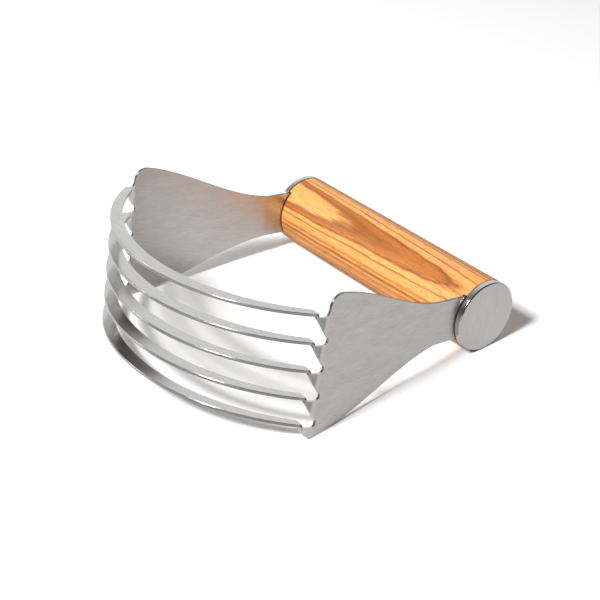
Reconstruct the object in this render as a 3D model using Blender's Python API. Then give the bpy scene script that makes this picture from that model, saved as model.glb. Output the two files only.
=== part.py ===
"""Hand pastry blender: five flat curved blades carried by two fan-shaped side plates,
with a turned olive-wood grip clamped between them by two steel end caps.

The tool lies on its side on a flat surface: the grip and the two lower plate corners
touch z = 0. X runs along the grip, the blades point towards -Y, Z is up. Metres.

It is drawn first in its own frame (x along the grip, "out" away from the grip axis
towards the blades, "up" square to the blades) and then laid down on the surface.
"""
import math

import bmesh
import bpy
from mathutils import Matrix, Vector

MM = 0.001

# ---- grip and end caps ---------------------------------------------------------------
grip_diameter = 26.0 * MM
grip_length = 103.0 * MM          # over both end caps
cap_thickness = 2.25 * MM
cap_chamfer = 0.35 * MM
fit_gap = 0.3 * MM                # clearance left between parts that sit on each other
wood_chamfer = 0.25 * MM

# ---- blade frame: one stamping -------------------------------------------------------
sheet = 1.0 * MM                  # sheet thickness
cap_slit = 0.35 * MM              # between a side plate and its end cap
wood_slit = 0.45 * MM             # between a side plate and the wood behind it
neck_half = 8.0 * MM              # half width of the neck that enters the grip
plate_rise = 0.6 * MM             # plate centre line above the grip axis
splay_start = 19.6 * MM           # distance from the grip axis where the plates splay
splay_bend = 3.2 * MM             # length of that soft bend
splay_slope = 0.112               # sideways run per unit of reach
fan_start = 16.7 * MM             # where the neck starts to widen
fan_overrun = 2.5 * MM            # the widening curve would end this far past the front edge
plate_reach = 77.7 * MM           # grip axis to the front edge of the side plates
corner_radius = 5.0 * MM

blade_count = 5
blade_pitch = 9.9 * MM
blade_width = 5.0 * MM            # at the middle of the arc; the ends are narrower
blade_throw = 32.7 * MM           # plate front edge to the outermost point of a blade
outer_inset = 1.12 * MM           # the outer arc passes this far inside the plate's outer
bend_reach = 3.8 * MM             # face, at this distance past the plate's front edge
inner_inset = 4.44 * MM           # the same for the inner arc, at the cut end of the blade
blade_drop = 0.5 * MM             # middle blade below the grip axis
blade_tilt = 0.012                # all blades rise slightly towards their middles
blade_converge = 0.016            # and they close up slightly towards each other there
plate_margin = 5.7 * MM           # plate edge beyond the first and the last blade

web_reach = 4.2 * MM              # how far each root tab runs on past the plate
web_end = 0.05 * MM               # what is left of the tab below the blade where it stops
web_bend = 4.0 * MM               # radius of the inward bend at each root
inner_fold = 0.2 * MM             # inner radius of the fold between tab and blade
edge_round = 0.12 * MM            # slight rounding on blade edges and on a cap's inner rim
blade_start = 3.5 * MM            # plate front edge to the cut end of a blade
shoulder_fillet = 1.7 * MM        # inside corner between the plate and the first root
notch_width = 2.6 * MM            # open end of the slot between two roots
notch_depth = 0.9 * MM            # how far the slot is cut into the plate
fan_flat = 0.6 * MM               # full-width part of the fan before the rounded corners

# ---- clamping parts inside the grip --------------------------------------------------
stud_diameter = 5.3 * MM
stud_length = 15.0 * MM
stud_shank = 2.2 * MM             # plain part of the stud before its thread
thread_pitch = 1.0 * MM
thread_depth = 0.32 * MM
insert_wall = 1.5 * MM            # brass between the insert's bore and its outside
insert_grooves = 5
groove_depth = 0.45 * MM
washer_band = 3.0 * MM            # from the washer's hole to its tooth tips
washer_thickness = 0.6 * MM
washer_teeth = 12
tooth_height = 1.2 * MM

SEGMENTS = 64

grip_r = grip_diameter / 2
half_length = grip_length / 2
cap_inner_x = half_length - cap_thickness
plate_x = cap_inner_x - cap_slit                  # outer face of a side plate at the neck
pocket_x = plate_x - sheet - wood_slit            # floor of the pocket in the wood
wood_end_x = cap_inner_x - fit_gap
fan_half = (blade_count - 1) / 2 * blade_pitch + plate_margin
fold_radius = sheet + inner_fold                  # outer radius of the fold
eye_hole = stud_diameter + 1.5 * MM               # hole in the plate for the stud
insert_bore = stud_diameter + 0.7 * MM
insert_diameter = insert_bore + 2 * insert_wall
insert_length = stud_length - 2.0 * MM
bore_depth = stud_length + 2.0 * MM               # blind hole in the wood
washer_inner = stud_diameter + 1.1 * MM
washer_outer = washer_inner + 2 * washer_band
cap_recess = washer_outer + 1.6 * MM              # pocket in a cap's back for the washer


def clear_scene():
    for old in list(bpy.data.objects):
        bpy.data.objects.remove(old, do_unlink=True)


def material(name, colour, metallic, roughness):
    mat = bpy.data.materials.new(name)
    mat.use_nodes = True
    shader = mat.node_tree.nodes["Principled BSDF"]
    shader.inputs["Base Color"].default_value = (*colour, 1.0)
    shader.inputs["Metallic"].default_value = metallic
    shader.inputs["Roughness"].default_value = roughness
    return mat


def add_object(name, mesh, mat):
    obj = bpy.data.objects.new(name, mesh)
    bpy.context.scene.collection.objects.link(obj)
    mesh.materials.clear()
    mesh.materials.append(mat)
    return obj


def mesh_from(name, points, faces):
    """Closed mesh with shared corners welded and its faces turned outwards."""
    mesh = bpy.data.meshes.new(name)
    mesh.from_pydata([tuple(p) for p in points], [], faces)
    work = bmesh.new()
    work.from_mesh(mesh)
    bmesh.ops.remove_doubles(work, verts=work.verts, dist=1e-7)
    bmesh.ops.recalc_face_normals(work, faces=work.faces)
    work.to_mesh(mesh)
    work.free()
    mesh.update()
    return mesh


def turned(name, profile, closed, segments=SEGMENTS):
    """Revolve (x, radius) points about the grip axis. An open profile starts and ends
    on the axis; a closed one makes a ring."""
    points, faces, rings = [], [], []
    for x, radius in profile:
        if radius < 1e-9:
            rings.append([len(points)])
            points.append((x, 0.0, 0.0))
            continue
        rings.append(list(range(len(points), len(points) + segments)))
        for k in range(segments):
            turn = 2 * math.pi * (k + 0.5) / segments
            points.append((x, radius * math.cos(turn), radius * math.sin(turn)))
    pairs = list(zip(rings, rings[1:]))
    if closed:
        pairs.append((rings[-1], rings[0]))
    for one, two in pairs:
        for k in range(segments):
            m = (k + 1) % segments
            quad = [one[k % len(one)], one[m % len(one)], two[m % len(two)], two[k % len(two)]]
            face = [v for n, v in enumerate(quad) if v not in quad[:n]]
            faces.append(face)
    return mesh_from(name, points, faces)


def prism(name, outline, x0, x1):
    """Straight prism along the grip axis from an (out, up) outline."""
    n = len(outline)
    points = [(x0, -out, up) for out, up in outline] + [(x1, -out, up) for out, up in outline]
    faces = [list(range(n)), list(range(n, 2 * n))]
    faces += [[k, (k + 1) % n, n + (k + 1) % n, n + k] for k in range(n)]
    return mesh_from(name, points, faces)


def cut(mesh, tool):
    """Subtract one closed mesh from another with the exact solver."""
    body = bpy.data.objects.new("body", mesh)
    cutter = bpy.data.objects.new("cutter", tool)
    for obj in (body, cutter):
        bpy.context.scene.collection.objects.link(obj)
    step = body.modifiers.new("cut", "BOOLEAN")
    step.operation = "DIFFERENCE"
    step.solver = "EXACT"
    step.object = cutter
    bpy.context.view_layer.update()
    graph = bpy.context.evaluated_depsgraph_get()
    result = bpy.data.meshes.new_from_object(body.evaluated_get(graph))
    for obj in (body, cutter):
        bpy.data.objects.remove(obj, do_unlink=True)
    return result


# ---- shape of the side plates --------------------------------------------------------
def plate_half(out):
    """Half width of a side plate: a straight neck, then an S-curve out to the fan."""
    t = min(max((out - fan_start) / (plate_reach + fan_overrun - fan_start), 0.0), 1.0)
    return neck_half + (fan_half - neck_half) * t * t * (3 - 2 * t)


def plate_outer_x(out):
    """Outer face of a side plate: flat at the neck, soft bend, then straight and splayed."""
    run = out - splay_start
    if run <= 0:
        return plate_x
    if run < splay_bend:
        return plate_x + splay_slope * run * run / (2 * splay_bend)
    return plate_x + splay_slope * (run - splay_bend / 2)


def plate_skin(out):
    """Distance between the two faces measured along X."""
    if out <= splay_start:
        return sheet
    share = min((out - splay_start) / splay_bend, 1.0)
    return sheet * math.hypot(1.0, splay_slope * share)


def arc_through(x, out, peak):
    """Radius and centre reach of the arc, symmetric about the middle of the grip, that
    peaks at one reach and passes through (x, out)."""
    rise = peak - out
    radius = (x * x + rise * rise) / (2 * rise)
    return radius, peak - radius


def blade_top(index):
    """Height of a blade's upper face where it leaves the plate."""
    return ((blade_count - 1) / 2 - index) * blade_pitch - blade_drop + sheet / 2


def blade_lean(index):
    return blade_tilt + (index - (blade_count - 1) / 2) * blade_converge


def tab_drop(index, out):
    """Upper edge of a root tab below the blade's upper face. The first tab meets the
    plate's shoulder in a round inside corner."""
    if index > 0:
        return fold_radius
    side = max(shoulder_fillet - (out - plate_reach), 0.0)
    return fold_radius - (shoulder_fillet - math.sqrt(shoulder_fillet ** 2 - side ** 2))


def root_path(arc_steps, bend_steps):
    """Outer edge line of a blade seen from above, from the plate's front edge to the
    middle of the arc: straight run, inward bend, big arc. Gives (x, out, inward) lists."""
    slope_angle = math.atan(splay_slope)
    start = Vector((plate_outer_x(plate_reach), plate_reach))
    run = Vector((math.sin(slope_angle), math.cos(slope_angle)))
    inward = Vector((-run.y, run.x))
    edge_x = plate_outer_x(plate_reach) - outer_inset
    blade_radius, centre_out = arc_through(edge_x, plate_reach + bend_reach,
                                           plate_reach + blade_throw)
    centre = Vector((0.0, centre_out))
    # The bend is tangent to the plate line and, from inside, to the big arc.
    base = start + inward * web_bend - centre
    reach = blade_radius - web_bend
    b = base.dot(run)
    along = -b + math.sqrt(b * b - (base.length_squared - reach * reach))
    bend_centre = start + inward * web_bend + run * along
    first = (start + run * along) - bend_centre
    radial = (bend_centre - centre).normalized()
    turn = math.acos(max(-1.0, min(1.0, first.normalized().dot(radial))))
    path = [(start + run * along * k / 3, inward) for k in range(3)]
    for k in range(bend_steps + 1):
        angle = math.atan2(first.y, first.x) + turn * k / bend_steps
        arm = Vector((math.cos(angle), math.sin(angle)))
        path.append((bend_centre + arm * web_bend, -arm))
    theta = math.atan2(radial.x, radial.y)
    for k in range(1, arc_steps + 1):
        here = theta * (1 - k / arc_steps)
        arm = Vector((math.sin(here), math.cos(here)))
        path.append((centre + arm * blade_radius, -arm))
    return path


def web_depth(index, out):
    """Depth of a root tab below the blade's upper face."""
    u = min(max((out - plate_reach) / web_reach, 0.0), 1.0)
    last = sheet + web_end
    if index == blade_count - 1:
        first = blade_top(index) - (plate_rise - fan_half)
        return last + (first - last) * math.sqrt(1 - u * u)
    first = blade_pitch + fold_radius - notch_width
    return first + (last - first) * (0.8 * u + 0.2 * u ** 3)


def blade_frame_mesh(name, arc_steps=22, bend_steps=6, fillet_steps=3, notch_steps=6):
    points, faces = [], []

    def add(x, out, up):
        points.append((x, -out, up))
        return len(points) - 1

    def wall(loop_a, loop_b, closed=False):
        """Quads between two rows of corners."""
        count = len(loop_a) if closed else len(loop_a) - 1
        for k in range(count):
            m = (k + 1) % len(loop_a)
            faces.append([loop_a[k], loop_a[m], loop_b[m], loop_b[k]])

    def both(out, up):
        x = plate_outer_x(out)
        return add(x, out, up), add(x - plate_skin(out), out, up)

    # -- tongue with the stud hole: two flat halves above and below the axis ------------
    hole_r = eye_hole / 2
    # hole starts at its rear point and runs upwards; back runs from below, round the
    # rear (its middle corner), to above
    hole = [both(-hole_r * math.cos(a), hole_r * math.sin(a))
            for a in (math.pi * k / 12 for k in range(24))]
    back = [both(-neck_half * math.cos(a), plate_rise + neck_half * math.sin(a))
            for a in (math.pi * (k - 6) / 12 for k in range(13))]
    first_out = splay_start
    low = both(first_out, plate_rise - plate_half(first_out))
    mid = both(first_out, 0.0)
    high = both(first_out, plate_rise + plate_half(first_out))
    upper = [*back[6:], high, mid, *reversed(hole[:13])]
    lower = [mid, low, *back[:7], hole[0], *reversed(hole[12:])]
    for side in (0, 1):
        faces.append([v[side] for v in upper])
        faces.append([v[side] for v in lower])
    wall([v[0] for v in hole], [v[1] for v in hole], closed=True)
    rim = [low, *back, high]
    wall([v[0] for v in rim], [v[1] for v in rim])

    # -- neck bend and fan: full-width columns -------------------------------------------
    outs = [splay_start + splay_bend * k / 4 for k in range(1, 5)]
    last_column = plate_reach - corner_radius - fan_flat
    steps = 16
    outs += [outs[3] + (last_column - outs[3]) * k / steps for k in range(1, steps + 1)]
    previous = (low, mid, high)
    for out in outs:
        lo, hi = both(out, plate_rise - plate_half(out)), both(out, plate_rise + plate_half(out))
        for side in (0, 1):
            ring = [previous[0][side], lo[side], hi[side], previous[-1][side]]
            if len(previous) == 3:
                ring.append(previous[1][side])
            faces.append(ring)
        wall([previous[0][0], lo[0]], [previous[0][1], lo[1]])
        wall([previous[-1][0], hi[0]], [previous[-1][1], hi[1]])
        previous = (lo, hi)

    # -- front part of the fan: one flat face per side, with slots between the roots -----
    front = [previous[0]]
    free = []                     # stretches of the outline that carry the sheet edge
    bottom_run = [previous[0]]
    for k in range(1, 4):
        out = last_column + (plate_reach - last_column) * k / 3
        bottom_run.append(both(out, plate_rise - plate_half(out)))
    front += bottom_run[1:]
    free.append(bottom_run)
    roots = []                    # (lower corner pair, upper corner pair) per blade
    corner = bottom_run[-1]
    for index in range(blade_count - 1, -1, -1):
        top = both(plate_reach, blade_top(index) - tab_drop(index, plate_reach))
        roots.insert(0, (corner, top))
        front.append(top)
        if index > 0:
            half = notch_width / 2
            middle = blade_top(index) - fold_radius + half
            notch = [top]
            for k in range(1, notch_steps):
                a = math.pi * k / notch_steps
                notch.append(both(plate_reach - notch_depth * math.sin(a),
                                  middle - half * math.cos(a)))
            corner = both(plate_reach, middle + half)
            notch.append(corner)
            front += notch[1:]
            free.append(notch)
    shoulder = [roots[0][1]]
    for k in range(0, 7):
        a = math.pi / 2 * k / 6
        out = plate_reach - corner_radius * (1 - math.cos(a))
        up = plate_rise + plate_half(out) - corner_radius * (1 - math.sin(a))
        shoulder.append(both(out, up))
    shoulder.append(previous[1])
    front += shoulder[1:]
    free.append(shoulder)
    for side in (0, 1):
        faces.append([v[side] for v in front])
    for run in free:
        wall([v[0] for v in run], [v[1] for v in run])

    # -- roots and blades ------------------------------------------------------------------
    path = root_path(arc_steps, bend_steps)
    start_out = plate_reach + blade_start
    inner_r, inner_centre = arc_through(plate_outer_x(plate_reach) - inner_inset, start_out,
                                        plate_reach + blade_throw - blade_width)

    def outer_at(out):
        """Point of the outer line with this reach, before the middle of the bend."""
        for (a, na), (b, nb) in zip(path, path[1:]):
            if a.y <= out <= b.y:
                t = (out - a.y) / (b.y - a.y)
                return a.lerp(b, t), na.lerp(nb, t).normalized()
        return path[-1]

    end_out = plate_reach + web_reach
    fold_line = [outer_at(start_out + (end_out - start_out) * k / 4) for k in range(5)]
    plain_start = outer_at(end_out + 0.25 * MM)
    tail = [p for p in path if p[0].y > end_out + 0.8 * MM]
    line = fold_line + [plain_start] + tail
    # inner edge: its own arc, paired corner by corner with the outer line
    first_angle = math.acos((start_out - inner_centre) / inner_r)
    pair_count = len(fold_line) + 2
    match = math.atan2(line[pair_count][0].x, line[pair_count][0].y - inner_centre)
    inner = []
    for k, (p, _) in enumerate(line):
        if k <= pair_count:
            angle = first_angle + (match - first_angle) * k / pair_count
        else:
            angle = math.atan2(p.x, p.y - inner_centre)
        inner.append(Vector((inner_r * math.sin(angle), inner_centre + inner_r * math.cos(angle))))

    for index in range(blade_count):
        top, lean = blade_top(index), blade_lean(index)
        (low_root, top_root) = roots[index]

        def place(point, up):
            return add(point.x, point.y, top + up + lean * max(point.y - start_out, 0.0))

        # root tab between the plate and the cut end of the blade
        previous = (low_root[0], top_root[0], top_root[1], low_root[1])
        for k in range(1, 7):
            out = plate_reach + blade_start * k / 6
            p, _ = outer_at(out)
            q = Vector((p.x - plate_skin(out), p.y))
            depth, drop = web_depth(index, out), tab_drop(index, out)
            here = (place(p, -depth), place(p, -drop), place(q, -drop), place(q, -depth))
            wall(previous, here, closed=True)
            previous = here
        # L-shaped fold, then the plain strip
        rows = []
        for k, ((p, inward), w) in enumerate(zip(line, inner)):
            folded = k < len(fold_line)
            along = (w - p).normalized()
            stretch = 1 / along.dot(inward)
            if k == 0:
                stretch = plate_skin(start_out) / sheet
            rho = fold_radius if folded else edge_round
            depth = web_depth(index, p.y) if folded else sheet
            if folded and k > 0:
                rho = fold_radius * (1 - 0.55 * k / (len(fold_line) - 1))
            row = [place(w, 0.0)]
            for j in range(fillet_steps + 1):
                a = math.pi / 2 * j / fillet_steps
                off = rho * (1 - math.sin(a)) * stretch
                row.append(place(p + along * off, -rho * (1 - math.cos(a))))
            row.append(place(p, -depth))
            row.append(place(p + along * sheet * stretch, -depth))
            for j in range(3):
                b = math.pi / 2 * (1 - j / 2)
                off = (sheet + inner_fold * (1 - math.sin(b))) * stretch
                drop = inner_fold * (1 - math.cos(b)) if folded else 0.0
                row.append(place(p + along * (off + (0.05 * MM * (j + 1) if not folded else 0.0)),
                                 -sheet - drop))
            row.append(place(w, -sheet))
            rows.append(row)
        for one, two in zip(rows, rows[1:]):
            wall(one, two, closed=True)
        # cut end of the blade, above the root tab
        f = fillet_steps + 1
        first = rows[0]
        faces.append([first[0], *first[1:f + 1], *first[f + 3:]])

    # -- the other half --------------------------------------------------------------------
    half = len(points)
    points += [(-x, y, z) for x, y, z in points]
    faces += [[v + half for v in reversed(face)] for face in faces]
    return mesh_from(name, points, faces)


# ---- parts of the grip ---------------------------------------------------------------
def grip_mesh():
    r, c = grip_r, wood_chamfer
    bore = insert_diameter / 2 + fit_gap
    e, d = wood_end_x, pocket_x - bore_depth
    profile = [(-d, 0.0), (-d, bore), (-e, bore), (-e, r - c), (-e + c, r),
               (e - c, r), (e, r - c), (e, bore), (d, bore), (d, 0.0)]
    mesh = turned("wood_grip", profile, closed=False)
    half = neck_half + fit_gap
    outline = [(-half * math.sin(a), plate_rise + half * math.cos(a))
               for a in (math.pi * k / 24 for k in range(25))]
    far = grip_r + wood_end_x - pocket_x          # well clear of the wood
    outline += [(far, plate_rise - half), (far, plate_rise + half)]
    for sign in (-1, 1):
        ends = sorted((sign * pocket_x, sign * (wood_end_x + 3 * MM)))
        mesh = cut(mesh, prism("pocket", outline, *ends))
    return mesh


def cap_mesh(name, sign):
    r, c = grip_r, cap_chamfer
    recess_x = plate_x + fit_gap + washer_thickness + fit_gap
    recess_r = cap_recess / 2
    profile = [(half_length, 0.0), (half_length, r - c), (half_length - c, r),
               (cap_inner_x + edge_round, r), (cap_inner_x, r - edge_round),
               (cap_inner_x, recess_r), (recess_x, recess_r), (recess_x, 0.0)]
    return turned(name, [(sign * x, radius) for x, radius in profile], closed=False)


def stud_mesh(name, sign):
    head_x = plate_x + fit_gap + washer_thickness
    tail_x = head_x - stud_length
    r, cut_in = stud_diameter / 2, thread_depth
    profile = [(head_x, 0.0), (head_x, r), (head_x - stud_shank, r)]
    x = head_x - stud_shank
    while x - thread_pitch > tail_x + 0.6 * MM:
        profile += [(x - thread_pitch * 0.35, r - cut_in), (x - thread_pitch * 0.55, r - cut_in),
                    (x - thread_pitch * 0.9, r)]
        x -= thread_pitch
        profile.append((x, r))
    profile += [(tail_x, r - 0.5 * MM), (tail_x, 0.0)]
    return turned(name, [(sign * px, radius) for px, radius in profile], closed=False, segments=24)


def insert_mesh(name, sign):
    front_x = pocket_x - 0.05 * MM
    rear_x = front_x - insert_length
    r, b = insert_diameter / 2, insert_bore / 2
    profile = [(front_x, b + 0.3 * MM), (front_x, r)]
    pitch = insert_length / (insert_grooves + 0.4)
    for k in range(insert_grooves):
        x0 = front_x - pitch * (k + 0.55)
        x1 = front_x - pitch * (k + 0.95)
        profile += [(x0, r), (x0, r - groove_depth), (x1, r - groove_depth), (x1, r)]
    profile += [(rear_x, r), (rear_x, b), (front_x - 0.3 * MM, b)]
    return turned(name, [(sign * px, radius) for px, radius in profile], closed=True, segments=32)


def washer_mesh(name, sign):
    """Lock washer with teeth round its outer edge."""
    x0 = plate_x + fit_gap
    x1 = x0 + washer_thickness
    root_r, tip_r, inner_r = washer_outer / 2 - tooth_height, washer_outer / 2, washer_inner / 2
    outer, inner = [], []
    for k in range(washer_teeth * 4):
        a = 2 * math.pi * k / (washer_teeth * 4)
        radius = tip_r if k % 4 in (0, 1) else root_r
        outer.append((radius * math.cos(a), radius * math.sin(a)))
        inner.append((inner_r * math.cos(a), inner_r * math.sin(a)))
    n = len(outer)
    points = []
    for x in (x0, x1):
        for ring in (outer, inner):
            points += [(sign * x, y, z) for y, z in ring]
    faces = []
    for k in range(n):
        m = (k + 1) % n
        faces.append([k, m, n + m, n + k])
        faces.append([2 * n + k, 3 * n + k, 3 * n + m, 2 * n + m])
        faces.append([k, 2 * n + k, 2 * n + m, m])
        faces.append([n + k, n + m, 3 * n + m, 3 * n + k])
    return mesh_from(name, points, faces)


# ---- laying the tool on the surface ----------------------------------------------------
def lowest_after(mesh, angle):
    c, s = math.cos(angle), math.sin(angle)
    return min(-v.co.y * s + v.co.z * c for v in mesh.vertices)


def resting_angle(mesh):
    """Turn about the grip axis at which the plate corners drop to the grip's underside."""
    low, high = math.radians(-25), math.radians(40)
    for _ in range(60):
        middle = (low + high) / 2
        if lowest_after(mesh, middle) < -grip_r:
            low = middle
        else:
            high = middle
    return high


def main():
    clear_scene()
    steel = material("brushed_steel", (0.62, 0.61, 0.59), 1.0, 0.32)
    polished = material("cap_steel", (0.66, 0.65, 0.63), 1.0, 0.25)
    zinc = material("zinc_steel", (0.55, 0.56, 0.58), 1.0, 0.4)
    brass = material("brass", (0.78, 0.6, 0.28), 1.0, 0.35)
    wood = material("olive_wood", (0.72, 0.42, 0.18), 0.0, 0.45)

    meshes = [("blade_frame", blade_frame_mesh("blade_frame"), steel),
              ("wood_grip", grip_mesh(), wood)]
    for side, sign in (("left", -1), ("right", 1)):
        meshes += [("end_cap_" + side, cap_mesh("end_cap_" + side, sign), polished),
                   ("cap_stud_" + side, stud_mesh("cap_stud_" + side, sign), zinc),
                   ("thread_insert_" + side, insert_mesh("thread_insert_" + side, sign), brass),
                   ("lock_washer_" + side, washer_mesh("lock_washer_" + side, sign), zinc)]

    angle = resting_angle(meshes[0][1])
    lay = Matrix.Rotation(-angle, 4, "X")
    for _, mesh, _ in meshes:
        mesh.transform(lay)
    ys = [v.co.y for _, mesh, _ in meshes for v in mesh.vertices]
    zs = [v.co.z for _, mesh, _ in meshes for v in mesh.vertices]
    shift = Matrix.Translation((0.0, -(min(ys) + max(ys)) / 2, -min(zs)))
    for name, mesh, mat in meshes:
        mesh.transform(shift)
        mesh.update()
        add_object(name, mesh, mat)
    print("resting angle %.2f degrees" % math.degrees(angle))


main()
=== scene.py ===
# %% [markdown]
# A hand pastry blender, lying on its side on a white table
#
# The tool has five flat curved blades and two fan-shaped side plates, all pressed from one
# sheet of stainless steel. A turned olive-wood grip sits between the plates, and a thick
# steel disc closes each end of it. Inside the wood, hidden from sight, a stud behind each
# disc screws into a brass insert and squeezes a lock washer against the plate.
#
# The engineering model already has every piece in its place. This lesson gives each piece
# its edges, its finish and its light. Units are metres, +Z is up and the grip lies along X.

import math

import bmesh
import bpy
from mathutils import Matrix, Vector


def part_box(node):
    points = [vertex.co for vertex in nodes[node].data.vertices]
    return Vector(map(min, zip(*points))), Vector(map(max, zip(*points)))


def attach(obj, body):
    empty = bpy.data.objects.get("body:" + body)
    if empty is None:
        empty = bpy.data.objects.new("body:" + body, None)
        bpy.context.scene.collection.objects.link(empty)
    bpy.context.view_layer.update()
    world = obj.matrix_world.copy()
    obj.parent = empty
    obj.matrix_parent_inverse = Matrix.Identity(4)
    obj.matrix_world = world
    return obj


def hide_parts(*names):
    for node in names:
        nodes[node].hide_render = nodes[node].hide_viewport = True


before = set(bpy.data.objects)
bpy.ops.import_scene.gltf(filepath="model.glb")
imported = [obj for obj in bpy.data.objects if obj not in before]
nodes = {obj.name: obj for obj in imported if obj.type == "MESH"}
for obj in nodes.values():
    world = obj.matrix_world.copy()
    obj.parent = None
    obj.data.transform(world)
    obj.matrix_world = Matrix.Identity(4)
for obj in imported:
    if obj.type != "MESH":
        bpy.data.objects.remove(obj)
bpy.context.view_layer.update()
scene = bpy.context.scene
MM = 0.001
print("nodes:", sorted(nodes))

# %% [markdown]
# The tool's own directions
#
# The tool leans on its grip and on two plate corners, so everything that follows the sheet
# metal is tilted by the resting angle. The grip axis is the natural zero for both the wood
# grain and the brush lines. It could be typed in, but it is measured from the grip, so that
# it follows the engineering model.

# %% Measure the grip axis and set the resting angle
grip_low, grip_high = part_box("wood_grip")
grip_axis = Vector((0.0, (grip_low.y + grip_high.y) / 2, (grip_low.z + grip_high.z) / 2))
resting_angle = math.radians(8.67)
out_direction = Vector((0.0, -math.cos(resting_angle), math.sin(resting_angle)))
up_direction = Vector((0.0, math.sin(resting_angle), math.cos(resting_angle)))
print("grip axis at", [round(v, 4) for v in grip_axis])

# %% [markdown]
# Camera
#
# A long lens from about half a metre keeps the plates nearly parallel, as in a catalogue
# picture. The camera is described the way its operator would say it: how far round the
# object, how high, how far away, how much it leans, and where the grip sits in the frame.
# That is easier to adjust than a place and three rotations.

# %% Place the camera
azimuth = 0.892562317
elevation = 0.548624038
lean = 0.0133482510
distance = 525.9709 * MM
grip_offset_right = -32.2760 * MM
grip_offset_up = -15.9214 * MM
lens_mm = 85.2122
sensor_mm = 36.0

toward_camera = Vector((
    math.sin(azimuth) * math.cos(elevation),
    -math.cos(azimuth) * math.cos(elevation),
    math.sin(elevation),
))
level_right = (-toward_camera).cross(Vector((0, 0, 1))).normalized()
level_up = level_right.cross(-toward_camera)
camera_right = level_right * math.cos(lean) + level_up * math.sin(lean)
camera_up = level_up * math.cos(lean) - level_right * math.sin(lean)
camera_place = (
    grip_axis
    + toward_camera * distance
    + level_right * grip_offset_right
    + level_up * grip_offset_up
)
camera_data = bpy.data.cameras.new("catalogue_camera")
camera_data.lens = lens_mm
camera_data.sensor_width = sensor_mm
camera_data.clip_start = 10.0 * MM
camera = bpy.data.objects.new("catalogue_camera", camera_data)
scene.collection.objects.link(camera)
turn = Matrix((camera_right, camera_up, toward_camera)).transposed().to_4x4()
camera.matrix_world = Matrix.Translation(camera_place) @ turn
scene.camera = camera
print("camera at", [round(v, 3) for v in camera_place])

# %% [markdown]
# White table
#
# A white table under the tool fills the picture and takes the soft shadow. Paper could be
# bent up behind the tool, but a table that is wide enough needs no bend. It looks nearly
# white to the camera, yet gives less light back to the steel than white paper would, so that
# the metal keeps its greys. The Standard view keeps white paper white.

# %% Table
def new_finish(name):
    """A new material, with its node tree and its main shader."""
    finish = bpy.data.materials.new(name)
    finish.use_nodes = True
    return finish, finish.node_tree, finish.node_tree.nodes["Principled BSDF"]


def flat_sheet(name, corners, finish):
    """A single flat face with four corners."""
    mesh = bpy.data.meshes.new(name)
    mesh.from_pydata([tuple(corner) for corner in corners], [], [(0, 1, 2, 3)])
    mesh.materials.append(finish)
    sheet = bpy.data.objects.new(name, mesh)
    scene.collection.objects.link(sheet)
    return sheet


scene.view_settings.view_transform = "Standard"
table_half = 3.0
table_seen = 0.98                            # how white the table looks to the camera
table_lit = 0.60                             # how much light it gives back to the steel
table_finish, tree, shader = new_finish("table_white")
table_rays = tree.nodes.new("ShaderNodeLightPath")
table_tone = tree.nodes.new("ShaderNodeMapRange")
table_tone.inputs["To Min"].default_value = table_lit
table_tone.inputs["To Max"].default_value = table_seen
tree.links.new(table_rays.outputs["Is Camera Ray"], table_tone.inputs["Value"])
tree.links.new(table_tone.outputs["Result"], shader.inputs["Base Color"])
shader.inputs["Roughness"].default_value = 0.9
shader.inputs["Specular IOR Level"].default_value = 0.0
table_corners = [
    Vector((x, y, 0.0)) * table_half for x, y in ((-1, -1), (1, -1), (1, 1), (-1, 1))
]
table = flat_sheet("table", table_corners, table_finish)
print("table is %.0f m wide" % (2 * table_half))

# %% [markdown]
# Room
#
# Brushed steel shows the room more than it shows itself. In an evenly white room it looks
# like grey plastic, so this room is dark on one side and brightens towards one wall. The
# side plates face that wall by different angles, which gives each its own grey. A panorama
# of a real studio could light the scene too, but one smooth step needs no file. The camera
# itself sees a plain pale backdrop.

# %% Room light
bright_wall = Vector((-0.72, 0.66, 0.18)).normalized()
wall_start = 0.12                            # 1 is straight at the wall, 0 is square to it
wall_full = 0.97
dim_room = 0.05
wall_gain = 0.86
backdrop = 0.80                              # how bright the room looks behind the table
world = bpy.data.worlds.new("pale_room")
world.use_nodes = True
scene.world = world
room = world.node_tree
room_background = room.nodes["Background"]
room_background.inputs["Color"].default_value = (1.0, 1.0, 1.0, 1.0)
look = room.nodes.new("ShaderNodeTexCoord")
facing = room.nodes.new("ShaderNodeVectorMath")
facing.operation = "DOT_PRODUCT"
facing.inputs[1].default_value = bright_wall
room.links.new(look.outputs["Generated"], facing.inputs[0])
wall = room.nodes.new("ShaderNodeMapRange")
wall.interpolation_type = "SMOOTHSTEP"
wall.inputs["From Min"].default_value = wall_start
wall.inputs["From Max"].default_value = wall_full
wall.inputs["To Min"].default_value = dim_room
wall.inputs["To Max"].default_value = dim_room + wall_gain
room.links.new(facing.outputs["Value"], wall.inputs["Value"])
room_rays = room.nodes.new("ShaderNodeLightPath")
room_tone = room.nodes.new("ShaderNodeMapRange")
room_tone.inputs["To Max"].default_value = backdrop
room.links.new(wall.outputs["Result"], room_tone.inputs["To Min"])
room.links.new(room_rays.outputs["Is Camera Ray"], room_tone.inputs["Value"])
room.links.new(room_tone.outputs["Result"], room_background.inputs["Strength"])
print("room from", dim_room, "to", dim_room + wall_gain)

# %% [markdown]
# Lamps
#
# The main softbox hangs high in front of the blades and throws the soft shadow behind the
# grip. A weak one on the left puts a small highlight on the rim of each disc. A sun lamp
# would give shadows with hard edges, which a studio never has.

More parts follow.
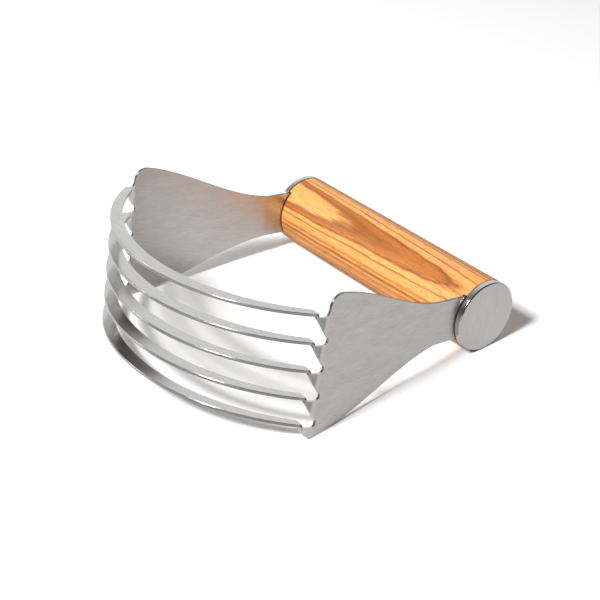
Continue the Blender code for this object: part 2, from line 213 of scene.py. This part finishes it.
# %% Lamps
def soft_lamp(name, place, aim, side, watts):
    """A flat square lamp that points at a spot."""
    data = bpy.data.lights.new(name, "AREA")
    data.shape = "SQUARE"
    data.size = side
    data.energy = watts
    lamp = bpy.data.objects.new(name, data)
    scene.collection.objects.link(lamp)
    view = Vector(aim) - Vector(place)
    lamp.rotation_euler = view.to_track_quat("-Z", "Y").to_euler()
    lamp.location = place
    print(name, "%.1f W" % watts)


lamp_aim = (0.0, 0.0, 0.02)
soft_lamp("main_softbox", place=(0.12, -0.90, 1.02), aim=lamp_aim, side=0.26, watts=26.0)
soft_lamp("side_softbox", place=(-0.72, -0.55, 0.56), aim=lamp_aim, side=0.24, watts=2.2)

# %% [markdown]
# Dark card
#
# Steel that only reflects white looks like plastic. A studio lays a dark card on the table,
# just outside the picture, so that rounded folds and cut edges get a dark side. The room
# could be made darker instead, but a card darkens only what faces it. It is hidden from the
# camera and shows only in the metal.

# %% Lay the dark card
card_side = Vector((0.60, -0.80, 0.0))       # from the tool towards the card
card_along = Vector((0.80, 0.60, 0.0))
card_near = 67.0 * MM
card_deep = 260.0 * MM
card_half = 330.0 * MM
card_lift = Vector((0.0, 0.0, 0.2 * MM))
card_grey = 0.30
card_finish, tree, shader = new_finish("dark_card")
shader.inputs["Base Color"].default_value = (card_grey, card_grey, card_grey, 1.0)
shader.inputs["Roughness"].default_value = 0.8
card_far = card_near + card_deep
card_corners = [
    card_side * reach + card_along * side + card_lift
    for reach, side in ((card_near, -card_half), (card_near, card_half),
                        (card_far, card_half), (card_far, -card_half))
]
card = flat_sheet("dark_card", card_corners, card_finish)
card.visible_camera = False
card.visible_shadow = False
print("card starts %.0f mm from the middle" % (card_near / MM))

# %% [markdown]
# Helpers for node trees
#
# Materials are trees of small nodes. They could be wired one by one, in three lines each,
# but short helpers that take numbers or sockets make the wiring read like arithmetic.

# %% Helpers that write node trees
def new_group(name, inputs, outputs):
    """An empty node group with named sockets; inputs are (name, type, start value)."""
    group = bpy.data.node_groups.new(name, "ShaderNodeTree")
    for label, kind, value in inputs:
        socket = group.interface.new_socket(name=label, in_out="INPUT", socket_type=kind)
        if value is not None:
            socket.default_value = value
    for label, kind in outputs:
        group.interface.new_socket(name=label, in_out="OUTPUT", socket_type=kind)
    entry = group.nodes.new("NodeGroupInput")
    leave = group.nodes.new("NodeGroupOutput")
    return group, entry, leave


def feed(tree, value, socket):
    """Link a socket, or write a plain value."""
    if isinstance(value, bpy.types.NodeSocket):
        tree.links.new(value, socket)
    else:
        socket.default_value = value


def math_node(tree, operation, first, second=0.0, third=0.0, clamp=False):
    """One arithmetic node; each value is a number or a socket."""
    node = tree.nodes.new("ShaderNodeMath")
    node.operation = operation
    node.use_clamp = clamp
    for value, socket in zip((first, second, third), node.inputs):
        feed(tree, value, socket)
    return node.outputs[0]


def vector_node(tree, operation, first, second):
    """One node of vector arithmetic; each value is a vector or a socket."""
    node = tree.nodes.new("ShaderNodeVectorMath")
    node.operation = operation
    feed(tree, first, node.inputs[0])
    feed(tree, second, node.inputs[1])
    return node.outputs["Value" if operation == "DISTANCE" else "Vector"]


def noise_node(tree, place, stretch, detail, roughness=0.5):
    """Noise whose grains are as many per metre along X, Y and Z as stretch says."""
    node = tree.nodes.new("ShaderNodeTexNoise")
    node.inputs["Scale"].default_value = 1.0
    node.inputs["Detail"].default_value = detail
    node.inputs["Roughness"].default_value = roughness
    tree.links.new(vector_node(tree, "MULTIPLY", place, stretch), node.inputs["Vector"])
    return node.outputs["Fac"]


def grey_node(tree, value):
    """A grey colour of the given brightness."""
    node = tree.nodes.new("ShaderNodeCombineColor")
    for channel in node.inputs:
        tree.links.new(value, channel)
    return node.outputs[0]


def blend_colours(tree, share, first, second, mode="MIX"):
    """Mix two colours; share, first and second are values or sockets."""
    node = tree.nodes.new("ShaderNodeMix")
    node.data_type = "RGBA"
    node.blend_type = mode
    feed(tree, share, node.inputs[0])
    feed(tree, first, node.inputs[6])
    feed(tree, second, node.inputs[7])
    return node.outputs[2]


def bump_node(tree, height, distance):
    """A normal that follows a height; distance is the relief in metres."""
    node = tree.nodes.new("ShaderNodeBump")
    node.inputs["Strength"].default_value = 1.0
    node.inputs["Distance"].default_value = distance
    tree.links.new(height, node.inputs["Height"])
    return node.outputs["Normal"]


print("node helpers ready")

# %% [markdown]
# Shared effect: brush lines
#
# Stainless sheet is brushed by a belt, which leaves thousands of fine straight scratches in
# one direction. A noise that is squeezed across the belt direction and stretched along it
# gives the same look, and a second, wider noise keeps the lines from looking even. It is
# built once as a node group, because plates, blades, discs and fasteners all show lines of
# some kind, each with its own direction and strength.

# %% Build the brush lines group
fine_share = 0.65
wide_share = 0.35
wide_stretch = (0.35, 0.16, 0.16)            # the wide lines, as a share of the fine ones
brush_group, entry, leave = new_group(
    "brush_lines",
    [("Position", "NodeSocketVector", None),
     ("Lines Per Metre", "NodeSocketVector", (60.0, 3000.0, 3000.0)),
     ("Steel", "NodeSocketColor", (0.6, 0.6, 0.6, 1.0)),
     ("Contrast", "NodeSocketFloat", 0.1),
     ("Gloss Middle", "NodeSocketFloat", 0.3),
     ("Gloss Spread", "NodeSocketFloat", 0.1)],
    [("Colour", "NodeSocketColor"), ("Roughness", "NodeSocketFloat"),
     ("Height", "NodeSocketFloat")],
)
line_stretch = entry.outputs["Lines Per Metre"]
fine = noise_node(brush_group, entry.outputs["Position"], line_stretch, detail=2.0)
wide = noise_node(brush_group, entry.outputs["Position"],
                  vector_node(brush_group, "MULTIPLY", line_stretch, wide_stretch), detail=2.0)
lines = math_node(brush_group, "ADD", math_node(brush_group, "MULTIPLY", fine, fine_share),
                  math_node(brush_group, "MULTIPLY", wide, wide_share))
centred = math_node(brush_group, "SUBTRACT", lines, 0.5)
tone = math_node(brush_group, "MULTIPLY_ADD", centred, entry.outputs["Contrast"], 1.0)
brushed_colour = blend_colours(brush_group, 1.0, entry.outputs["Steel"],
                               grey_node(brush_group, tone), "MULTIPLY")
brushed_gloss = math_node(brush_group, "MULTIPLY_ADD", centred, entry.outputs["Gloss Spread"],
                          entry.outputs["Gloss Middle"], clamp=True)
brush_group.links.new(brushed_colour, leave.inputs["Colour"])
brush_group.links.new(brushed_gloss, leave.inputs["Roughness"])
brush_group.links.new(lines, leave.inputs["Height"])
print("brush_lines has", len(brush_group.nodes), "nodes")

# %% [markdown]
# Shared effect: handling marks
#
# Even a new kitchen tool carries a little skin grease and a few soft wipes. Painting them by
# hand would tie them to one shape, so large faint clouds of noise dull the gloss here and
# there instead. Steel and wood share the effect.

# %% Build the handling marks group
cloud_gain = 3.0                             # together these two leave clean ground
cloud_level = -1.1                           # between the clouds
grease_dulling = 0.25
marks_group, entry, leave = new_group(
    "handling_marks",
    [("Position", "NodeSocketVector", None), ("Clouds Per Metre", "NodeSocketFloat", 60.0),
     ("Amount", "NodeSocketFloat", 0.3), ("Clean Gloss", "NodeSocketFloat", 0.3)],
    [("Roughness", "NodeSocketFloat")],
)
clouds = marks_group.nodes.new("ShaderNodeTexNoise")
clouds.inputs["Detail"].default_value = 4.0
marks_group.links.new(entry.outputs["Position"], clouds.inputs["Vector"])
marks_group.links.new(entry.outputs["Clouds Per Metre"], clouds.inputs["Scale"])
spots = math_node(marks_group, "MULTIPLY_ADD", clouds.outputs["Fac"], cloud_gain, cloud_level,
                  clamp=True)
grease = math_node(marks_group, "MULTIPLY", spots, entry.outputs["Amount"])
dulled = math_node(marks_group, "MULTIPLY_ADD", grease, grease_dulling,
                   entry.outputs["Clean Gloss"], clamp=True)
marks_group.links.new(dulled, leave.inputs["Roughness"])
print("handling_marks has", len(marks_group.nodes), "nodes")

# %% [markdown]
# Where a texture starts
#
# Brush lines and wood grain need a position that belongs to the tool and not to the table.
# Both count from the grip axis. The steel's position is also turned level with the sheet, so
# that the lines run down the plates and not along the table.

# %% Positions in the tool's own frame
def position_from_axis(tree):
    """Object position counted from the grip axis."""
    source = tree.nodes.new("ShaderNodeTexCoord")
    return vector_node(tree, "SUBTRACT", source.outputs["Object"], grip_axis)


def position_on_sheet(tree):
    """X along the grip, Y from the blades towards the grip, Z square to the blades."""
    level = tree.nodes.new("ShaderNodeVectorRotate")
    level.rotation_type = "X_AXIS"
    level.inputs["Angle"].default_value = resting_angle
    tree.links.new(position_from_axis(tree), level.inputs["Vector"])
    return level.outputs[0]


def place_group(tree, group, **values):
    """Put a node group in a material and set or link its inputs."""
    node = tree.nodes.new("ShaderNodeGroup")
    node.node_tree = group
    for label, value in values.items():
        feed(tree, value, node.inputs[label.replace("_", " ")])
    return node


print("position helpers ready")

# %% [markdown]
# Brushed steel
#
# The belt runs along the sheet before it is bent. After pressing, the lines run down the
# side plates from the grip to the blades, and along the blades. A punch leaves short marks
# through the thickness of the cut edges, and their dark grey base colour is painted shade
# that stands in for the dark room they reflect. An anisotropic shader would stretch the
# highlights as well, but plain lines are enough at this distance and survive the export. One
# recipe makes every metal of the tool, each with its own direction, gloss and strength.

# %% Steel recipes
steel_wipes = 45.0                           # wiped patches per metre


def steel_finish(name, colour, lines_per_metre, contrast, gloss, spread, relief, marks=0.25):
    """A brushed metal; lines_per_metre is few along the lines and many across them."""
    finish, tree, shader = new_finish(name)
    shader.inputs["Metallic"].default_value = 1.0
    place = position_on_sheet(tree)
    wipes = place_group(tree, marks_group, Position=place, Clouds_Per_Metre=steel_wipes,
                        Amount=marks, Clean_Gloss=gloss)
    brush = place_group(tree, brush_group, Position=place, Lines_Per_Metre=lines_per_metre,
                        Steel=colour, Contrast=contrast,
                        Gloss_Middle=wipes.outputs["Roughness"], Gloss_Spread=spread)
    tree.links.new(brush.outputs["Colour"], shader.inputs["Base Color"])
    tree.links.new(brush.outputs["Roughness"], shader.inputs["Roughness"])
    tree.links.new(bump_node(tree, brush.outputs["Height"], relief), shader.inputs["Normal"])
    print(name, "gloss %.2f" % gloss)
    return finish


plate_steel = steel_finish(
    "brushed_plate_steel", (0.61, 0.592, 0.575, 1), (2400, 170, 2400),
    contrast=0.60, gloss=0.31, spread=0.24, relief=0.03 * MM)
blade_steel = steel_finish(
    "brushed_blade_steel", (0.62, 0.617, 0.61, 1), (150, 2800, 2800),
    contrast=0.45, gloss=0.15, spread=0.15, relief=0.008 * MM)
# The cut edges' dark grey base colour is painted shade, in place of the dark room they
# reflect; the punch marks across them are their own.
sheared_steel_painted_shade = steel_finish(
    "sheared_edge_painted_shade", (0.22, 0.22, 0.215, 1), (900, 900, 300),
    contrast=0.60, gloss=0.30, spread=0.25, relief=0.02 * MM)
blade_edge_steel = steel_finish(
    "blade_edge_steel", (0.50, 0.495, 0.49, 1), (120, 120, 2600),
    contrast=0.50, gloss=0.20, spread=0.20, relief=0.01 * MM)

# %% [markdown]
# Disc steel
#
# The end discs are cut from bar. Their flat faces are satin, and their rims are polished, so
# a rim shows a dark side and a bright one where a face stays even grey.

# %% Disc recipes
disc_face_steel = steel_finish(
    "satin_disc_steel", (0.66, 0.639, 0.619, 1), (900, 2200, 260),
    contrast=0.32, gloss=0.36, spread=0.20, relief=0.015 * MM)
disc_rim_steel = steel_finish(
    "polished_rim_steel", (0.62, 0.615, 0.61, 1), (5000, 120, 120),
    contrast=0.30, gloss=0.14, spread=0.10, relief=0.006 * MM)

# %% [markdown]
# Metals inside the grip
#
# The studs and washers are zinc-plated, a slightly blue grey with cloudy patches. The
# inserts are turned brass, with fine rings from the lathe. They are hidden by the wood, but
# they are finished as well, so that the tool can be taken apart.

# %% Zinc and brass
zinc_steel = steel_finish(
    "zinc_plated_steel", (0.50, 0.52, 0.56, 1), (2500, 700, 700),
    contrast=0.30, gloss=0.42, spread=0.20, relief=0.015 * MM, marks=0.7)
turned_brass = steel_finish(
    "turned_brass", (0.75, 0.55, 0.24, 1), (5000, 150, 150),
    contrast=0.20, gloss=0.30, spread=0.15, relief=0.012 * MM, marks=0.4)

# %% [markdown]
# Olive wood
#
# Growth rings are nested tubes round the heart of the branch. Here the heart runs below the
# grip and slowly comes nearer, so the turned surface cuts the rings at a slant: on top they
# make long flames, and on the sides they make straight stripes. A flat image of wood, wrapped
# round the grip, would show a seam and the wrong end grain, so the wood is worked out in
# depth: the distance to the heart line, nudged by stretched noise, is read off against a
# scale of dark and light rings.

# %% Rings measured from the heart of the branch
def linear(red, green, blue):
    """Screen colour, 0 to 255, as the light values that Blender mixes."""
    def one(value):
        v = value / 255
        return v / 12.92 if v <= 0.04045 else ((v + 0.055) / 1.055) ** 2.4
    return (one(red), one(green), one(blue), 1.0)


flame_angle = math.radians(56.0)             # where the flames lie, from the blades upwards
flame_side = Vector((0.0, -math.cos(flame_angle), math.sin(flame_angle)))
heart_depth = 21.0 * MM                      # grip axis to the heart line
heart_climb = 0.0125                         # how fast the heart line nears the surface
ring_low = -14.0 * MM                        # the scale starts here, below the grip axis
ring_high = 15.0 * MM
ring_span = ring_high - ring_low

honey = linear(231, 163, 93)
streak = linear(188, 114, 48)
dark_line = linear(140, 76, 24)
# Distance beyond the grip axis towards the flames, in millimetres, and the wood found there
ring_scale = [
    (-12.2, honey), (-11.0, streak), (-10.5, honey), (-8.4, streak), (-7.9, honey),
    (-5.6, streak), (-5.1, honey), (-2.8, streak), (-2.3, honey), (-0.2, streak),
    (0.3, honey), (2.4, streak), (2.8, honey), (4.3, dark_line), (4.7, honey),
    (6.0, streak), (6.4, honey), (8.3, streak), (8.6, honey), (9.5, dark_line),
    (9.75, honey), (10.4, streak), (10.65, honey), (11.65, honey), (11.8, dark_line),
    (11.95, honey), (12.35, honey), (12.5, dark_line), (12.65, streak), (13.05, dark_line),
    (13.15, honey),
]
print(len(ring_scale), "ring stops, heart %.0f mm below the axis" % (heart_depth / MM))

# %% Build the rings
slow_nudge = 0.70 * MM                       # wide bends of the rings
quick_nudge = 0.42 * MM                      # their fine ragged edges
olive_wood, tree, shader = new_finish("oiled_olive_wood")
place = position_from_axis(tree)

along = tree.nodes.new("ShaderNodeSeparateXYZ")
tree.links.new(place, along.inputs[0])
heart = tree.nodes.new("ShaderNodeVectorMath")      # point of the heart line at this X
heart.operation = "SCALE"
heart.inputs[0].default_value = flame_side
tree.links.new(math_node(tree, "MULTIPLY_ADD", along.outputs["X"], heart_climb, -heart_depth),
               heart.inputs["Scale"])
across = vector_node(tree, "MULTIPLY", place, (0.0, 1.0, 1.0))
from_heart = vector_node(tree, "DISTANCE", across, heart.outputs[0])

slow = noise_node(tree, place, (28.0, 70.0, 70.0), detail=2.0)
quick = noise_node(tree, place, (110.0, 1100.0, 1100.0), detail=4.0, roughness=0.62)
nudge = math_node(tree, "ADD",
                  math_node(tree, "MULTIPLY_ADD", slow, slow_nudge, -slow_nudge / 2),
                  math_node(tree, "MULTIPLY_ADD", quick, quick_nudge, -quick_nudge / 2))
beyond_axis = math_node(tree, "SUBTRACT",
                        math_node(tree, "ADD", from_heart, nudge), heart_depth)
ring_place = math_node(tree, "MULTIPLY_ADD", beyond_axis, 1 / ring_span,
                       -ring_low / ring_span, clamp=True)

ring_ramp = tree.nodes.new("ShaderNodeValToRGB")
ring_ramp.color_ramp.interpolation = "LINEAR"
stops = ring_ramp.color_ramp.elements
while len(stops) > 1:
    stops.remove(stops[-1])
for number, (offset, colour) in enumerate(ring_scale):
    position = (offset * MM - ring_low) / ring_span
    stop = stops[0] if number == 0 else stops.new(position)
    stop.position = position
    stop.color = colour
tree.links.new(ring_place, ring_ramp.inputs[0])
print("rings have", len(stops), "stops")

# %% [markdown]
# Fibres, pores and oil
#
# Close up, olive wood is a bundle of fine fibres with short dark pores, all along the grip.
# One fine noise shades the rings and also lifts the surface a little. A second one, cut off
# high, leaves only the pores. The wood is oiled and handled, so its gloss is soft and uneven.

# %% Build the fibres and finish the wood
fibre_contrast = 1.5
fibre_level = 0.25
fibre_share = 0.9
pore_gain = 9.0                              # together these two keep only the peaks
pore_level = -5.3                            # of the noise
pore_share = 0.45
fibre_relief = 0.02 * MM
fibres = noise_node(tree, place, (160.0, 4200.0, 4200.0), detail=3.0, roughness=0.6)
fibre_tone = math_node(tree, "MULTIPLY_ADD", fibres, fibre_contrast, fibre_level)
with_fibres = blend_colours(tree, fibre_share, ring_ramp.outputs[0],
                            grey_node(tree, fibre_tone), "MULTIPLY")
pores = noise_node(tree, place, (500.0, 2600.0, 2600.0), detail=1.0)
pore_mask = math_node(tree, "MULTIPLY_ADD", pores, pore_gain, pore_level, clamp=True)
wood_colour = blend_colours(tree, math_node(tree, "MULTIPLY", pore_mask, pore_share),
                            with_fibres, dark_line)
wood_marks = place_group(tree, marks_group, Position=place, Clouds_Per_Metre=40.0,
                         Amount=0.5, Clean_Gloss=0.42)
tree.links.new(wood_colour, shader.inputs["Base Color"])
tree.links.new(wood_marks.outputs["Roughness"], shader.inputs["Roughness"])
tree.links.new(bump_node(tree, fibres, fibre_relief), shader.inputs["Normal"])
shader.inputs["Specular IOR Level"].default_value = 0.35
print("wood has", len(tree.nodes), "nodes")

# %% [markdown]
# From engineering solid to finished piece
#
# A real edge is never perfectly sharp: even a sheared sheet has a tiny round that catches
# the light. The pieces could be modelled again from nothing, but then they could miss the
# engineering model, so each visible piece starts from a copy of its solid. Flat faces are
# joined up, the sharp edges get a narrow bevel, and the curved faces are shaded smooth.
# Then the faces are sorted by the way they look, so that each gets its own recipe.

# %% Copy, clean and bevel a solid
weld_distance = 0.001 * MM
flat_limit = math.radians(0.3)               # faces that differ by less are one flat face
sharp_limit = math.radians(32.0)             # edges that turn by more get a bevel


def finished_piece(node, name, bevel_width, recipes, choose):
    """Make a detailed piece from a CAD node; choose(face) gives the recipe's number."""
    mesh = nodes[node].data.copy()
    mesh.materials.clear()
    for recipe in recipes:
        mesh.materials.append(recipe)
    work = bmesh.new()
    work.from_mesh(mesh)
    bmesh.ops.remove_doubles(work, verts=work.verts, dist=weld_distance)
    bmesh.ops.dissolve_limit(work, angle_limit=flat_limit, verts=work.verts,
                             edges=work.edges, use_dissolve_boundaries=False)
    work.normal_update()
    for face in work.faces:
        face.smooth = True
        face.material_index = choose(face)
    work.to_mesh(mesh)
    work.free()
    piece = bpy.data.objects.new(name, mesh)
    scene.collection.objects.link(piece)
    edges = piece.modifiers.new("soft_edges", "BEVEL")
    edges.width = bevel_width
    edges.segments = 2
    edges.limit_method = "ANGLE"
    edges.angle_limit = sharp_limit
    edges.use_clamp_overlap = True
    edges.harden_normals = True
    mesh.set_sharp_from_angle(angle=sharp_limit)
    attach(piece, "root")
    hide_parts(node)
    print(name, len(mesh.polygons), "faces")


# %% [markdown]
# Blade frame
#
# One pressing, but four looks: the brushed plates, the blades brushed the other way, and the
# cut edges of each. Nothing on the solid says which face is which, so every face is judged
# by how far it lies from the grip and which way it looks.

# %% Finish the blade frame
front_reach = 77.7 * MM                      # grip axis to the front edge of the plates
front_slack = 0.2 * MM
blade_start_reach = 82.5 * MM                # past this, a blade is a plain strip
straight = 0.9                               # a face that looks straight along a direction
square = 0.35                                # a face that looks nearly square to it
PLATE, BLADE, PLATE_EDGE, BLADE_EDGE = range(4)


def frame_recipe(face):
    """Which of the four looks a face of the blade frame has."""
    middle = face.calc_center_median() - grip_axis
    reach = middle.dot(out_direction)
    level = abs(face.normal.dot(up_direction))
    sideways = abs(face.normal.x)
    if reach < front_reach + front_slack:
        return PLATE if sideways > straight else PLATE_EDGE
    if level > straight:
        return BLADE
    return BLADE_EDGE if level < square and reach > blade_start_reach else BLADE


finished_piece("blade_frame", "stamped_blade_frame", 0.10 * MM,
               [plate_steel, blade_steel, sheared_steel_painted_shade, blade_edge_steel], frame_recipe)

# %% [markdown]
# Wood grip
#
# The grip is turned on a lathe and sanded, so its ends have a slightly wider round than the
# metal. One wood covers all of it, and because the rings are worked out in depth, the ends
# and the pockets show end grain without more work.

# %% Finish the wood grip
finished_piece("wood_grip", "turned_wood_grip", 0.12 * MM,
               [olive_wood], lambda face: 0)

# %% [markdown]
# End discs
#
# Each disc has two looks, a satin face and a polished rim, and its flat faces look along the
# grip. So one question sorts them: does the face look along X?

# %% Finish the end discs
DISC_FACE, DISC_RIM = range(2)


def disc_recipe(face):
    """Which of the two looks a face of a disc has."""
    return DISC_FACE if abs(face.normal.x) > straight else DISC_RIM


for side in ("left", "right"):
    finished_piece("end_cap_" + side, "steel_disc_" + side, 0.10 * MM,
                   [disc_face_steel, disc_rim_steel], disc_recipe)

# %% [markdown]
# Hidden fasteners
#
# The studs, washers and inserts keep their engineering shape, which already has its threads,
# grooves and teeth. Only the finish changes.

# %% Finish the fasteners
for side in ("left", "right"):
    for part, finish, slot_name in (
        ("cap_stud_", zinc_steel, "zinc_steel"),
        ("lock_washer_", zinc_steel, "zinc_steel"),
        ("thread_insert_", turned_brass, "brass"),
    ):
        fastener = nodes[part + side]
        fastener.data.materials.clear()
        fastener.data.materials.append(finish)
        print(fastener.name, "->", finish.name)
